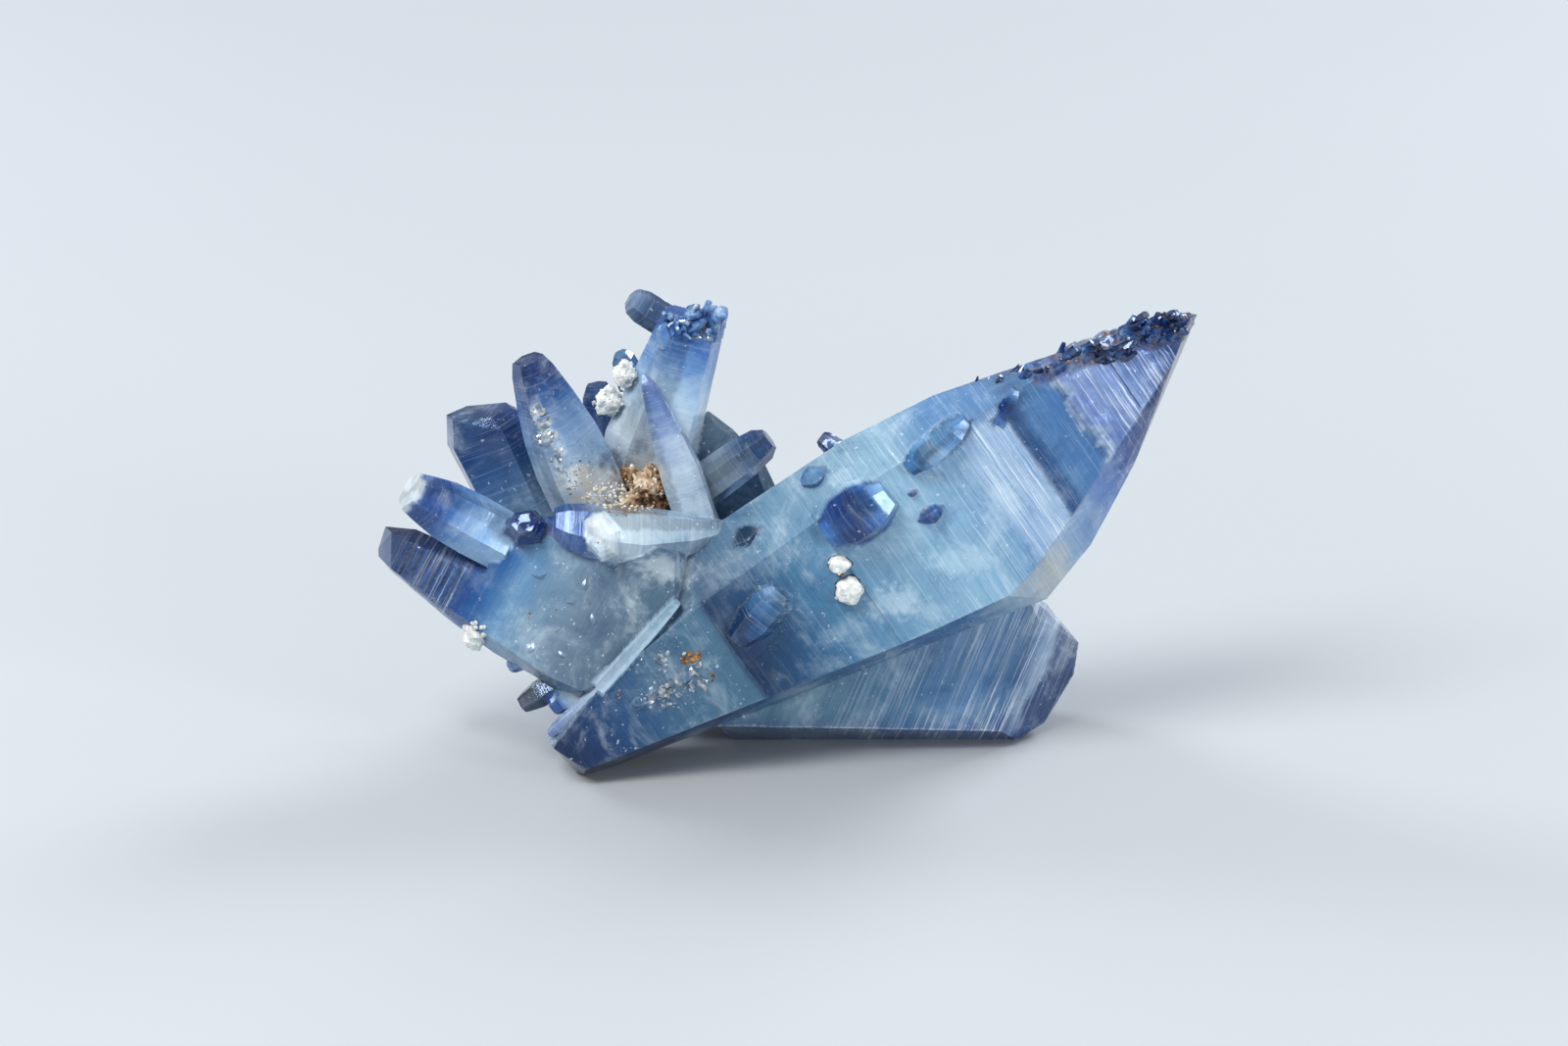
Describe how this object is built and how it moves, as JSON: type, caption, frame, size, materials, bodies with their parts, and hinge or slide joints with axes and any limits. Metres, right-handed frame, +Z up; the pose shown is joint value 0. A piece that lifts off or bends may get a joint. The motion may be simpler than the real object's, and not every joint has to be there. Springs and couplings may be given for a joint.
{
  "type": "sapphire crystal cluster",
  "caption": "Intergrown blue sapphire crystals: one big flattened spindle leaning up to the right over a stout striated crystal, with a fan of smaller six-sided crystals round a stained hollow.",
  "frame": {"origin": "on the floor under the middle of the cluster's bounding box", "axes": "+Z up, +X along the cluster's length towards the tip of the big spindle, +Y away from the front face seen in the picture"},
  "size_m": [0.0664, 0.0258, 0.0393],
  "materials": {
    "sapphire": "clear to milky blue crystal, glossy faces with fine striations",
    "crust": null,
    "white_grain": null
  },
  "bodies": {
    "root": {"sapphire_crystals": "sapphire", "crust_in_hollow": "crust", "white_grain_on_face_upper": "white_grain", "white_grain_on_face_lower": "white_grain", "white_grain_at_left": "white_grain", "white_grain_by_tower_upper": "white_grain", "white_grain_by_tower_lower": "white_grain"}
  },
  "joints": []
}
